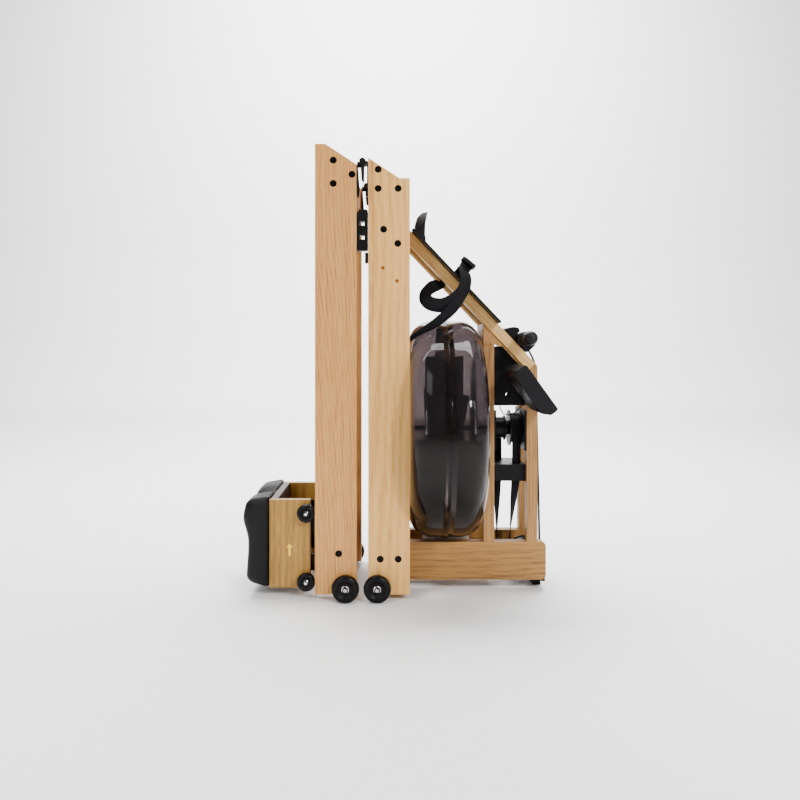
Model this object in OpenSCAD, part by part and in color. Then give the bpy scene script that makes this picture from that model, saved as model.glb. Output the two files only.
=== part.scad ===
// Folding water-resistance rowing machine, drawn folded and standing on its front end.
// Millimetres. Z is up along the rails, X runs from the seat side to the tank side.

/* [Rails] */
// thickness of every rail board
rail_t = 27; // [20:1:34]
// outer width over both rails
frame_w = 304; // [260:2:360]
// depth of each rail board
rail_d = 100; // [80:1:120]
// height of the rail bottoms above the floor
rail_bottom = 15; // [8:1:25]
// height of the front rails at their flat top
front_rail_top = 1014.6; // [900:0.1:1100]
// gap between the folded rail pairs
fold_gap = 28; // [20:1:40]

/* [Foot board] */
// slope of the foot board below level
board_angle = 46.64; // [35:0.01:55]
// length of the foot spars below the board origin
spar_l = 452.4; // [380:0.1:520]
// thickness of spars and deck bars
spar_t = 27; // [20:1:34]
// centre distance of the two spars
spar_pitch = 125; // [100:1:150]
// length of each foot plate
plate_l = 315; // [260:1:340]
// width of each foot plate
plate_w = 106; // [80:1:112]

/* [Tank] */
// outer radius of the water tank
tank_r = 277; // [240:1:281]
// depth of the water tank along its axis
tank_d = 184; // [150:1:200]
// wall thickness of the water tank
tank_wall = 4; // [3:0.5:6]
// outer radius of the paddle blades
blade_r = 185; // [140:1:200]
// number of paddle blades
blades = 6; // [4:1:8]

/* [Drive] */
// radius of the paddle shaft
shaft_r = 6; // [5:0.5:8]
// radial running clearance on shafts and pins
run_gap = 0.05; // [0.02:0.01:0.1]
// radius of the front pulley
pulley_r = 38; // [30:1:42]
// length of the pull handle
handle_l = 384; // [300:2:460]
// radius of the handle grips
grip_r = 17; // [13:0.5:20]

/* [Seat] */
// radius of the seat wheels
seat_wheel_r = 22.2; // [18:0.1:26]
// length of the seat along the rails
seat_l = 214; // [180:1:260]
// width of the seat cushion
cushion_w = 272; // [220:2:300]

/* [Wheels] */
// radius of the transport wheels
wheel_r = 33; // [26:0.5:40]
// width of the transport wheels
wheel_w = 24; // [18:1:32]

/* [Console] */
// length of the monitor
console_l = 129; // [100:1:150]
// width of the monitor
console_w = 151; // [110:1:170]

/* [Hidden] */
$fn = 64;

rail_o = frame_w / 2;
rail_i = rail_o - rail_t;
hinge_x = -81;
hinge_z = 1056.1;
fr_x0 = hinge_x + fold_gap / 2;
fr_x1 = fr_x0 + rail_d;
rr_x1 = hinge_x - fold_gap / 2;
rr_x0 = rr_x1 - rail_d;
fr_tip_z = front_rail_top + 49.4;
joint_gap = 0.6;
rr_tip_z = 2 * hinge_z - front_rail_top - joint_gap;
rr_low_z = 2 * hinge_z - fr_tip_z - joint_gap;
bolt_r = 4;
bolt_hole_r = 4.05;
head_r = 8;
recess_r = 8.5;
head_seat = rail_o - 6;
axle_r = 4;
spar_in = spar_pitch / 2 - spar_t / 2;
spar_out = spar_pitch / 2 + spar_t / 2;
board_o = [38.8, 896.7];
spar_h = 26;
axis_z = 400;
tank_x0 = fr_x1;
tank_x1 = tank_x0 + tank_d;
tank_xm = tank_x0 + tank_d / 2;
cheek_t = 4;
lower_x0 = 219;
upper_x0 = 327;
upper_x1 = upper_x0 + spar_t;
lower_x1 = lower_x0 + spar_t;
base_z0 = 27;
base_z1 = 122;
pulley_x = 334;
pulley_z = 75;
roller_r = 19;
roller_x = 344;
roller_z = 543;
recoil_x = 244;
recoil_r = 18;
guide_x = -14;
strap_t = 2;
strap_end_z = 548;
seat_z0 = 23;
seat_z1 = seat_z0 + seat_l;
seat_x0 = -309;
seat_x1 = -209;
plate_out = rail_i - 1;
plate_in = plate_out - 18;
seat_wheel_x = rr_x0 - 0.3 - seat_wheel_r;
seat_wheel_zu = seat_z1 - 30;
seat_wheel_zl = seat_z0 + 18;
console_o = [297.5, 569.9];
console_a = 54.2;
tilt_x = 293.8;
tilt_z = 542.6;

function bx(u, n) = board_o[0] + u * cos(board_angle) + n * sin(board_angle);
function bz(u, n) = board_o[1] - u * sin(board_angle) + n * cos(board_angle);
function under(x) = bz(0, -spar_h) - (x - bx(0, -spar_h)) * tan(board_angle);

module xz(y0, y1) {
    translate([0, y1, 0]) rotate([90, 0, 0]) linear_extrude(height = y1 - y0) children();
}

module box(x0, x1, y0, y1, z0, z1) {
    translate([x0, y0, z0]) cube([x1 - x0, y1 - y0, z1 - z0]);
}

module rod_y(x, z, r, y0, y1) {
    translate([x, y0, z]) rotate([-90, 0, 0]) cylinder(h = y1 - y0, r = r);
}

module rod_x(y, z, r, x0, x1) {
    translate([x0, y, z]) rotate([0, 90, 0]) cylinder(h = x1 - x0, r = r);
}

module both() {
    children();
    mirror([0, 1, 0]) children();
}

module on_board() {
    translate([board_o[0], 0, board_o[1]]) rotate([0, board_angle, 0]) children();
}

front_bolts = [[-43, 1036], [-43, 990], [5, 990], [-30, 892], [4, 858], [-38, 100], [5, 100]];
rear_bolts = [[-151, 1058], [-151, 1002], [-106, 1024], [-138, 113]];
dowels = [[-32, 799], [2, 768]];

module bolt_holes(list) {
    for (p = list) {
        both() rod_y(p[0], p[1], bolt_hole_r, rail_i - 31, rail_o + 1);
        both() rod_y(p[0], p[1], recess_r, head_seat, rail_o + 1);
    }
}

module bolt_set(list) {
    for (p = list) {
        both() difference() {
            union() {
                rod_y(p[0], p[1], bolt_r, rail_i - 30, head_seat);
                rod_y(p[0], p[1], head_r, head_seat, rail_o - 1);
            }
            rod_y(p[0], p[1], 3, rail_o - 4, rail_o);
        }
    }
}

module front_rails() {
    color([0.80, 0.62, 0.40]) difference() {
        both() xz(rail_i, rail_o) polygon([[fr_x0, rail_bottom], [fr_x1, rail_bottom],
            [fr_x1, front_rail_top], [7.8, front_rail_top], [fr_x0, fr_tip_z]]);
        bolt_holes(front_bolts);
        for (p = dowels) both() rod_y(p[0], p[1], 4.5, rail_o - 8, rail_o + 1);
        both() rod_y(-45, wheel_r, axle_r + 1, rail_i - 1, rail_o + 1);
    }
}

module rear_rails() {
    color([0.78, 0.58, 0.36]) difference() {
        both() xz(rail_i, rail_o) polygon([[rr_x0, rail_bottom], [rr_x1, rail_bottom],
            [rr_x1, rr_low_z], [2 * hinge_x - 7.8, rr_tip_z], [rr_x0, rr_tip_z]]);
        bolt_holes(rear_bolts);
        both() rod_y(-121, wheel_r, axle_r + 1, rail_i - 1, rail_o + 1);
    }
}

module front_hinge_block() {
    color([0.80, 0.62, 0.40]) difference() {
        xz(-rail_i, rail_i) polygon([[-62, 972], [26, 972], [26, 1008], [8, 1010], [-62, 1056]]);
        bolt_holes(front_bolts);
    }
}

module rear_hinge_block() {
    color([0.80, 0.62, 0.40]) difference() {
        xz(-rail_i, rail_i) polygon([[-161, 985], [-98, 985], [-98, 1044], [-161, 1085]]);
        bolt_holes(rear_bolts);
    }
}

module rear_crossbar() {
    color([0.80, 0.62, 0.40]) difference() {
        box(-160, -116, -rail_i, rail_i, 78, 148);
        bolt_holes(rear_bolts);
    }
}

module foot_crossmember() {
    color([0.80, 0.62, 0.40]) difference() {
        on_board() box(-66, 19, -rail_i, rail_i, -79.2, -spar_h);
        bolt_holes(front_bolts);
    }
}

module foot_spars() {
    color([0.80, 0.62, 0.40]) both() on_board() box(-66, spar_l, spar_in, spar_out, -spar_h, 0);
}

module front_blocks() {
    color([0.80, 0.62, 0.40]) {
        difference() {
            both() box(-61, 29, spar_out, rail_i, 40, base_z1);
            bolt_holes(front_bolts);
        }
        box(70, 190, -spar_in, spar_in, 66, 116);
    }
}

module front_uprights() {
    color([0.80, 0.62, 0.40]) difference() {
        both() xz(spar_in, spar_out) union() {
            translate([-61, base_z0]) square([424, base_z1 - base_z0]);
            translate([-61, base_z0 + 12]) square([436, base_z1 - base_z0 - 24]);
            translate([363, base_z0 + 12]) circle(r = 12);
            translate([363, base_z1 - 12]) circle(r = 12);
        }
        both() rod_y(pulley_x, pulley_z, axle_r + 0.02, 0, 64);
        both() rod_y(recoil_x, pulley_z, axle_r + 0.02, 0, 64);
        both() rod_y(guide_x, pulley_z, axle_r + 0.02, 0, 64);
    }
}

module lower_deck_bars() {
    color([0.80, 0.62, 0.40]) both() box(lower_x0, lower_x1, spar_in, spar_out, base_z1, 615);
}

module upper_deck_bars() {
    color([0.80, 0.62, 0.40]) difference() {
        both() xz(spar_in, spar_out) polygon([[upper_x0, base_z1], [upper_x1, base_z1],
            [upper_x1, 562], [bx(spar_l, 0), bz(spar_l, 0)], [bx(spar_l, -spar_h), bz(spar_l, -spar_h)],
            [upper_x0, bz(spar_l, -spar_h) - 3.5]]);
        both() rod_y(roller_x, roller_z, axle_r + 0.02, 0, 64);
    }
}

module deck_wedge_block() {
    color([0.80, 0.62, 0.40]) xz(-70, 70)
        polygon([[lower_x0, 615], [260, 615], [260, under(260)], [lower_x0, under(lower_x0)]]);
}

module tank_support_boards() {
    color([0.80, 0.62, 0.40]) {
        box(13, tank_x0, -rail_i, rail_i, 230, 290);
        box(13, tank_x0, -rail_i, rail_i, 510, 570);
    }
}

module deck_cheeks() {
    color([0.06, 0.06, 0.07]) difference() {
        both() xz(spar_in - cheek_t, spar_in) polygon([[224, 461], [224, 611], [269, 611],
            [326, 550], [340, 536], [340, 461]]);
        both() rod_y(287, 487, 9, spar_in - cheek_t - 1, spar_in + 1);
    }
}

module bearing_plates() {
    color([0.10, 0.10, 0.11]) difference() {
        union() {
            box(lower_x1, lower_x1 + 5, -74, 74, 350, 450);
            box(upper_x0 - 5, upper_x0, -74, 74, 350, 450);
        }
        rod_x(0, axis_z, shaft_r + run_gap, lower_x0, upper_x1);
    }
}

module strap_guide() {
    color([0.05, 0.05, 0.06]) difference() {
        box(lower_x1, upper_x0, -58, 58, 271, 313);
        box(288, 318, -43, -33, 270, 314);
        box(254, 282, 22, 32, 270, 314);
    }
}

module tank_profile(r, c, x0, x1) {
    intersection() {
        union() {
            square([r, 400]);
        }
        union() {
            translate([0, x0 + c]) square([r, x1 - x0 - 2 * c]);
            translate([0, x0]) square([r - c, x1 - x0]);
            translate([r - c, x0 + c]) circle(r = c);
            translate([r - c, x1 - c]) circle(r = c);
        }
    }
}

module tank_solid(r, c, x0, x1) {
    translate([0, 0, axis_z]) rotate([0, 90, 0]) rotate_extrude($fn = 96) tank_profile(r, c, x0, x1);
}

module tank_hollow() {
    tank_solid(tank_r - tank_wall, 54, tank_x0 + tank_wall, tank_x1 - tank_wall);
}

module tank_wall_solid() {
    difference() {
        tank_solid(tank_r, 58, tank_x0, tank_x1);
        tank_hollow();
    }
}

module tank_shell_lower() {
    color([0.40, 0.40, 0.42, 0.6]) difference() {
        union() {
            intersection() {
                tank_wall_solid();
                box(tank_x0 - 1, tank_xm, -300, 300, 100, 700);
            }
            rod_x(0, axis_z, 18, tank_x0 + 2, tank_x0 + 22);
        }
        rod_x(0, axis_z, shaft_r + 0.1, tank_x0 + 6, tank_x0 + 30);
    }
}

module tank_shell_upper() {
    color([0.40, 0.40, 0.42, 0.6]) difference() {
        union() {
            intersection() {
                tank_wall_solid();
                box(tank_xm, tank_x1 + 1, -300, 300, 100, 700);
            }
            rod_x(0, axis_z, 20, tank_x1 - 10, tank_x1 + 8);
        }
        rod_x(0, axis_z, shaft_r + 0.1, tank_x1 - 20, tank_x1 + 20);
    }
}

module tank_fittings() {
    color([0.08, 0.08, 0.09]) {
        difference() {
            rod_x(0, axis_z, tank_r + 4, tank_xm - 4, tank_xm + 4);
            rod_x(0, axis_z, tank_r, tank_xm - 5, tank_xm + 5);
        }
        rod_x(0, axis_z + 130, 14, tank_x1, tank_x1 + 7);
    }
}

module water_fill() {
    color([0.25, 0.30, 0.33]) difference() {
        intersection() {
            tank_hollow();
            box(tank_x0, tank_x1, -300, 300, 100, axis_z - 1);
        }
        rod_x(0, axis_z, blade_r + 5, 72, 178);
        rod_x(0, axis_z, 28, tank_x0, tank_x1);
    }
}

module front_fasteners() {
    color([0.08, 0.08, 0.08]) {
        bolt_set(front_bolts);
        both() wheel_axle(-45);
    }
}

module rear_fasteners() {
    color([0.08, 0.08, 0.08]) {
        bolt_set(rear_bolts);
        both() wheel_axle(-121);
    }
}

module wheel_axle(x) {
    rod_y(x, wheel_r, axle_r + 1, rail_i, rail_o + 2 + wheel_w + 2);
    rod_y(x, wheel_r, 9, rail_o, rail_o + 1.6);
    rod_y(x, wheel_r, 7, rail_o + 2 + wheel_w + 0.4, rail_o + 2 + wheel_w + 3);
}

module rubber_feet() {
    color([0.04, 0.04, 0.04]) {
        box(340, 374, -70, 70, 22, base_z0);
        box(350, 370, -30, 30, 0, 22);
        both() box(fr_x0 - 8, fr_x0, rail_i + 3, rail_o - 3, 812, 836);
    }
}

module hinge_front() {
    color([0.09, 0.09, 0.10]) both() {
        rod_y(hinge_x, hinge_z, axle_r, rail_i, rail_o);
        rod_y(hinge_x, hinge_z, 8, rail_i, rail_i + 9);
        rod_y(hinge_x, hinge_z, 8, rail_o - 9, rail_o);
        box(-70, fr_x0, rail_i, rail_o, 972, 1054);
        box(hinge_x, -67.5, rail_i, rail_i + 9, 1048.1, hinge_z);
        box(hinge_x, -67.5, rail_o - 9, rail_o, 1048.1, hinge_z);
        xz(rail_o - 8, rail_o - 1) polygon([[-86, 1052], [-76, 1052], [-77, 1003], [-83, 1010]]);
    }
}

module hinge_rear() {
    color([0.09, 0.09, 0.10]) both() difference() {
        union() {
            rod_y(hinge_x, hinge_z, 8, rail_i + 9.3, rail_o - 9.3);
            box(rr_x1, -92, rail_i, rail_o, 972, 1047);
            box(-94.5, hinge_x, rail_i + 9.3, rail_o - 9.3, 1043, hinge_z);
            xz(rail_i + 10, rail_i + 14) polygon([[rr_x1, 973], [-89, 973], [-88, 990], [-92, 1046.5], [rr_x1, 1046.5]]);
        }
        rod_y(hinge_x, hinge_z, axle_r + run_gap, rail_i, rail_o);
    }
}

module fold_catch() {
    color([0.05, 0.05, 0.05]) difference() {
        xz(-rail_o + 2, -rail_i + -3) polygon([[rr_x1, 841], [-69, 841], [-68, 846], [-68, 936],
            [-70, 940], [-88, 940], [rr_x1, 930]]);
        box(-88, -76, -rail_o, -rail_i, 901, 911);
        box(-88, -76, -rail_o, -rail_i, 868, 878);
    }
}

module seat_tracks() {
    color([0.30, 0.30, 0.31]) both() {
        box(-176, -170, rail_i - 16, rail_i, 60, 1040);
        box(-178, -168, rail_i - 16, rail_i, 44, 59.5);
    }
}

module frame_axles() {
    color([0.45, 0.45, 0.46]) {
        rod_y(pulley_x, pulley_z, axle_r, -64, 64);
        rod_y(recoil_x, pulley_z, axle_r, -64, 64);
        rod_y(guide_x, pulley_z, axle_r, -64, 64);
        rod_y(guide_x, pulley_z, recoil_r, -16, 16);
        rod_y(roller_x, roller_z, axle_r, -64, 64);
    }
}

module bungee_cord() {
    color([0.10, 0.10, 0.12]) difference() {
        translate([guide_x - recoil_r - 1, 0, 160]) cylinder(h = 720, r = 4);
        on_board() box(-80, 60, -40, 40, -79.2, 40);
    }
}

module recoil_strap() {
    rx = recoil_x + recoil_r + 0.3;
    gx = guide_x - recoil_r - 0.3 - strap_t;
    color([0.07, 0.07, 0.08]) {
        box(257, 279, 27.3, 29.3, 258, axis_z);
        yz(rx, rx + strap_t) polygon([[39, 262], [17, 262], [-11, 102], [-11, pulley_z],
            [11, pulley_z], [11, 102]]);
        band_arc(recoil_x, pulley_z, recoil_r + 0.3, 1, 0);
        box(guide_x, recoil_x, -11, 11, pulley_z - recoil_r - strap_t - 0.3, pulley_z - recoil_r - 0.3);
        band_arc(guide_x, pulley_z, recoil_r + 0.3, 0, 0);
        box(gx, gx + strap_t, -11, 11, pulley_z, 160);
    }
}

module band_arc(x, z, r, right, up) {
    intersection() {
        difference() {
            rod_y(x, z, r + strap_t, -11, 11);
            rod_y(x, z, r, -12, 12);
        }
        box(right ? x : x - 80, right ? x + 80 : x, -20, 20, up ? z : z - 80, up ? z + 80 : z);
    }
}

module yz(x0, x1) {
    translate([x0, 0, 0]) rotate([90, 0, 90]) linear_extrude(height = x1 - x0) children();
}

module drive_strap() {
    px = pulley_x - pulley_r - 0.3 - strap_t;
    color([0.07, 0.07, 0.08]) {
        box(296, 318, -40.3, -38.3, 258, axis_z);
        box(px, 318, -40.3, -38.3, 258, 264);
        yz(px, px + strap_t) polygon([[-50, 262], [-28, 262], [11, 120], [11, pulley_z],
            [-11, pulley_z], [-11, 120]]);
        band_arc(pulley_x, pulley_z, pulley_r + 0.3, 0, 0);
        band_arc(pulley_x, pulley_z, pulley_r + 0.3, 1, 0);
        xz(-11, 11) polygon([[pulley_x + pulley_r + 0.3, pulley_z],
            [pulley_x + pulley_r + 0.3 + strap_t, pulley_z],
            [roller_x + roller_r + 0.3 + strap_t, strap_end_z],
            [roller_x + roller_r + 0.3, strap_end_z]]);
    }
}

module sensor_lead() {
    color([0.03, 0.03, 0.03]) xz(cheek_t - spar_in, cheek_t - spar_in + 3) {
        lead_piece(334, 484, 312, 455);
        lead_piece(312, 455, 291, 437);
        lead_piece(291, 437, 265, 455);
        lead_piece(265, 455, 262, 475);
    }
}

module lead_piece(x0, z0, x1, z1) {
    a = atan2(z1 - z0, x1 - x0);
    translate([x0, z0]) rotate(a) translate([-1.5, -1.5]) square([norm([x1 - x0, z1 - z0]) + 3, 3]);
}

module handle_cradles() {
    color([0.05, 0.05, 0.05]) both() on_board() translate([0, spar_in, 0]) {
        translate([362, 0, 0]) cube([50, spar_t, 3.3]);
        translate([405.5, 0, 0]) cube([6.5, spar_t, 30]);
        translate([362, 0, 0]) cube([6, spar_t, 9]);
    }
}

module console_arm() {
    color([0.06, 0.06, 0.06]) {
        xz(-spar_out - 5, -spar_out) polygon([[284, 552], [302, 552], [upper_x1, 500], [upper_x1, 470],
            [upper_x0, 470], [286, 532]]);
        rod_y(tilt_x, tilt_z, 6, -96, -spar_out - 5);
    }
}

module on_console() {
    translate([console_o[0], 0, console_o[1]]) rotate([0, console_a, 0]) children();
}

module console_housing() {
    color([0.05, 0.05, 0.05]) difference() {
        on_console() xz(-83 - console_w, -83) polygon([[4, 0], [console_l - 4, 0], [console_l, -4],
            [console_l, -22], [console_l - 16, -38], [10, -38], [0, -28], [0, -4]]);
        rod_y(tilt_x, tilt_z, 6 + run_gap, -97, -82);
        on_console() translate([105, -83 - console_w / 2, -6]) cylinder(h = 8, r = 9.4);
    }
}

module console_button() {
    color([0.50, 0.50, 0.52]) on_console() translate([105, -83 - console_w / 2, -3.2]) cylinder(h = 4.2, r = 9);
}

module wheel(x, z, r, y0, y1, bore, rim) {
    difference() {
        rod_y(x, z, r, y0, y1);
        rod_y(x, z, bore, y0 - 1, y1 + 1);
        rod_y(x, z, rim, y1 - 3, y1 + 1);
        rod_y(x, z, rim, y0 - 1, y0 + 3);
    }
    difference() {
        rod_y(x, z, rim * 0.62, y0 + 0.5, y1 - 0.5);
        rod_y(x, z, bore, y0 - 1, y1 + 1);
    }
}

module road_wheel(x) {
    color([0.05, 0.05, 0.05]) wheel(x, wheel_r, wheel_r, rail_o + 2, rail_o + 2 + wheel_w,
        axle_r + 1 + run_gap, wheel_r * 0.6);
}

module front_wheel_left() {
    road_wheel(-45);
}

module front_wheel_right() {
    mirror([0, 1, 0]) road_wheel(-45);
}

module rear_wheel_left() {
    road_wheel(-121);
}

module rear_wheel_right() {
    mirror([0, 1, 0]) road_wheel(-121);
}

module seat_side_plates() {
    color([0.80, 0.65, 0.38]) difference() {
        both() box(seat_x0, seat_x1, plate_in, plate_out, seat_z0, seat_z1);
        both() rod_y(seat_wheel_x, seat_wheel_zu, axle_r + 0.02, plate_in - 1, plate_out + 1);
        both() rod_y(seat_wheel_x, seat_wheel_zl, axle_r + 0.02, plate_in - 1, plate_out + 1);
    }
}

module seat_base() {
    color([0.45, 0.30, 0.18]) {
        box(seat_x0, seat_x0 + 18, -plate_in, plate_in, seat_z0, seat_z1);
        box(seat_x0 + 18, -225, -plate_in, plate_in, 120, 138);
    }
}

module cushion_profile() {
    polygon([[seat_x0, 26], [seat_x0, 243], [-334, 245], [-356, 241], [-361, 232],
        [-360, 220], [-368, 206], [-374, 186], [-373, 160], [-369, 130], [-367, 90],
        [-367, 50], [-363, 34], [-352, 28]]);
}

module seat_cushion() {
    color([0.07, 0.07, 0.08]) xz(-cushion_w / 2, cushion_w / 2) cushion_profile();
}

module seat_hardware() {
    color([0.12, 0.12, 0.12]) both() {
        for (z = [seat_wheel_zu, seat_wheel_zl]) {
            rod_y(seat_wheel_x, z, axle_r, plate_in, plate_out + 26);
            rod_y(seat_wheel_x, z, 8, plate_out, plate_out + 4);
            rod_y(seat_wheel_x, z, 6.5, plate_out + 24.4, plate_out + 26.5);
        }
        for (z = [60, 150]) {
            box(-240, -164.5, plate_in - 5, plate_in, z, z + 40);
            box(-169.5, -164.5, plate_in - 5, plate_out - 2, z, z + 40);
        }
    }
}

module seat_wheel(z) {
    color([0.05, 0.05, 0.05]) wheel(seat_wheel_x, z, seat_wheel_r, plate_out + 4.4, plate_out + 24,
        axle_r + run_gap, seat_wheel_r * 0.6);
}

module seat_wheel_upper_left() {
    seat_wheel(seat_wheel_zu);
}

module seat_wheel_upper_right() {
    mirror([0, 1, 0]) seat_wheel(seat_wheel_zu);
}

module seat_wheel_lower_left() {
    seat_wheel(seat_wheel_zl);
}

module seat_wheel_lower_right() {
    mirror([0, 1, 0]) seat_wheel(seat_wheel_zl);
}

module strap_drum() {
    color([0.08, 0.08, 0.09]) difference() {
        union() {
            rod_x(0, axis_z, 46, 292, 295.5);
            rod_x(0, axis_z, 46, 318.5, 321);
            rod_x(0, axis_z, 38, 295, 319);
            rod_x(0, axis_z, 18, 252, 293);
            rod_x(0, axis_z, 32, 253, 256.5);
            rod_x(0, axis_z, 32, 279.5, 283);
            rod_x(0, axis_z, 27, 256, 280);
        }
        rod_x(0, axis_z, shaft_r + run_gap, 250, 325);
    }
}

module paddle() {
    color([0.06, 0.06, 0.06]) {
        rod_x(0, axis_z, shaft_r, tank_x0 + 7, 328);
        difference() {
            union() {
                rod_x(0, axis_z, 24, 85, 165);
                for (i = [0 : blades - 1]) translate([0, 0, axis_z]) rotate([i * 360 / blades, 0, 0])
                    box(75, 175, -2.5, 2.5, 10, blade_r);
            }
            rod_x(0, axis_z, shaft_r - 1, 70, 180);
        }
    }
}

module handle_bar() {
    color([0.05, 0.05, 0.05]) on_board() translate([386, 0, 3.5 + grip_r]) {
        rotate([-90, 0, 0]) translate([0, 0, -handle_l / 2]) cylinder(h = handle_l, r = 11);
        both() rotate([-90, 0, 0]) translate([0, 0, 34]) cylinder(h = handle_l / 2 - 34, r = grip_r);
        rotate([-90, 0, 0]) translate([0, 0, -24]) cylinder(h = 48, r = 15);
    }
}

module handle_strap() {
    hx = bx(386, 3.5 + grip_r);
    hz = bz(386, 3.5 + grip_r);
    sx = roller_x + roller_r + 0.3;
    color([0.07, 0.07, 0.08]) difference() {
        xz(-11, 11) polygon([[sx, strap_end_z + 0.4], [sx + strap_t, strap_end_z + 0.4],
            [hx + 10, hz], [hx + 7, hz]]);
        rod_y(hx, hz, 15, -20, 20);
    }
}

module sheave(x, z, r, w, bore) {
    difference() {
        union() {
            rod_y(x, z, r, -w, w);
            rod_y(x, z, r + 2.5, -w, -w + 3);
            rod_y(x, z, r + 2.5, w - 3, w);
        }
        rod_y(x, z, bore, -w - 1, w + 1);
    }
}

module top_roller() {
    color([0.10, 0.10, 0.11]) sheave(roller_x, roller_z, roller_r, 18, axle_r + run_gap);
}

module front_pulley() {
    color([0.10, 0.10, 0.11]) sheave(pulley_x, pulley_z, pulley_r, 18, axle_r + run_gap);
}

module recoil_pulley() {
    color([0.10, 0.10, 0.11]) sheave(recoil_x, pulley_z, recoil_r, 18, axle_r + run_gap);
}

module foot_plate_right() {
    color([0.05, 0.05, 0.05]) translate([0, -spar_pitch / 2 - 2.5, 0]) plate();
}

module foot_plate_left() {
    color([0.05, 0.05, 0.05]) translate([0, spar_pitch / 2 + 2.5, 0]) plate();
}

module plate() {
    on_board() {
        translate([0, -plate_w / 2, 0.3]) cube([plate_l, plate_w, 4.7]);
        intersection() {
            xz(-plate_w / 2, plate_w / 2) polygon([[8, 4], [46, 4], [30, 16], [12, 34], [-6, 60],
                [-18, 50], [-16, 34], [-4, 14]]);
            translate([50, 0, 0]) difference() {
                scale([1, 1, 1]) cylinder(h = 80, r = 68);
                translate([0, 0, -1]) cylinder(h = 90, r = 52);
            }
        }
    }
}

module strap_loop() {
    h = plate_w / 2;
    on_board() yz(145, 183) difference() {
        polygon([[-h - 3, 0.4], [-h - 3, 22], [-h + 6, 38], [-28, 47], [0, 50], [28, 47],
            [h - 6, 38], [h + 3, 22], [h + 3, 0.4]]);
        polygon([[-h, -1], [-h, 21], [-h + 8, 36], [-27, 44.2], [0, 47], [27, 44.2],
            [h - 8, 36], [h, 21], [h, -1]]);
    }
}

module foot_strap_right() {
    color([0.07, 0.07, 0.08]) translate([0, -spar_pitch / 2 - 2.5, 0]) strap_loop();
}

module foot_strap_left() {
    color([0.07, 0.07, 0.08]) translate([0, spar_pitch / 2 + 2.5, 0]) strap_loop();
}

front_rails();
front_hinge_block();
foot_crossmember();
front_blocks();
front_uprights();
lower_deck_bars();
upper_deck_bars();
foot_spars();
deck_wedge_block();
tank_support_boards();
deck_cheeks();
bearing_plates();
strap_guide();
tank_shell_lower();
tank_shell_upper();
tank_fittings();
water_fill();
front_fasteners();
rubber_feet();
hinge_front();
frame_axles();
bungee_cord();
recoil_strap();
drive_strap();
sensor_lead();
handle_cradles();
console_arm();
rear_rails();
rear_hinge_block();
rear_crossbar();
rear_fasteners();
hinge_rear();
fold_catch();
seat_tracks();
front_wheel_right();
front_wheel_left();
rear_wheel_right();
rear_wheel_left();
seat_side_plates();
seat_base();
seat_cushion();
seat_hardware();
seat_wheel_upper_right();
seat_wheel_upper_left();
seat_wheel_lower_right();
seat_wheel_lower_left();
strap_drum();
paddle();
handle_bar();
handle_strap();
top_roller();
front_pulley();
recoil_pulley();
console_housing();
console_button();
foot_plate_right();
foot_plate_left();
foot_strap_right();
foot_strap_left();
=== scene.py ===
"""A folding wooden rowing machine with a water tank, folded and standing on its front end."""
import math

import bmesh
import bpy
from mathutils import Matrix, Vector


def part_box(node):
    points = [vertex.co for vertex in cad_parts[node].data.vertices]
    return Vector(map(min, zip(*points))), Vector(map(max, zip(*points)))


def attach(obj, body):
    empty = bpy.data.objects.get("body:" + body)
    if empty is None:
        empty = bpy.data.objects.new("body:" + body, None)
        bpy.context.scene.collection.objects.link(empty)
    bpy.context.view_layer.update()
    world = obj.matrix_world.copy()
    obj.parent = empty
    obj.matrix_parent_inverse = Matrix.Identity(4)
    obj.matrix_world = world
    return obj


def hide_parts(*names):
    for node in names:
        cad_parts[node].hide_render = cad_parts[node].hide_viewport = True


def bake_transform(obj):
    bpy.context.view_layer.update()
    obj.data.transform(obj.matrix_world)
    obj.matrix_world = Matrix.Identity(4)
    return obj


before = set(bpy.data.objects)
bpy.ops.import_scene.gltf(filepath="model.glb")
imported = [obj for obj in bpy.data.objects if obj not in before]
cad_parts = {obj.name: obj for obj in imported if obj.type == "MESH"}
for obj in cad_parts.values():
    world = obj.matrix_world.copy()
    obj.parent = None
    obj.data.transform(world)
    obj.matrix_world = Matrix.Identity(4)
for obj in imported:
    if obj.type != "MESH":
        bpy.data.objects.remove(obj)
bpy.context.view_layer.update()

# --- Camera ---------------------------------------------------------------
# Level camera at a little over half the height of the folded machine, square
# to its side.
camera_data = bpy.data.cameras.new("side_camera")
camera_data.lens = 33.75
camera_data.shift_x = 0.008
camera_data.shift_y = -0.066
camera_data.clip_end = 60
camera = bpy.data.objects.new("side_camera", camera_data)
camera.location = (-0.006, -1.952, 0.6088)
camera.rotation_euler = (math.pi / 2, 0, 0)
bpy.context.scene.collection.objects.link(camera)
bpy.context.scene.camera = camera


# --- Sensor lead ----------------------------------------------------------
# Thin black PVC flex that hangs in a short loop below the near cheek plate,
# from the monitor arm round to the speed sensor.
def linear(code):
    """sRGB hex to linear RGBA."""
    parts = [int(code[i:i + 2], 16) / 255 for i in (1, 3, 5)]
    return tuple(c / 12.92 if c <= 0.04045 else ((c + 0.055) / 1.055) ** 2.4 for c in parts) + (1,)


def put(tree, kind, wires=None, **settings):
    """Adds a node: settings are its own, wires are values or links for its inputs."""
    made = tree.nodes.new(kind)
    for key, value in settings.items():
        setattr(made, key, value)
    for key, value in (wires or {}).items():
        if isinstance(value, bpy.types.NodeSocket):
            tree.links.new(value, made.inputs[key])
        else:
            made.inputs[key].default_value = value
    return made


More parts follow.
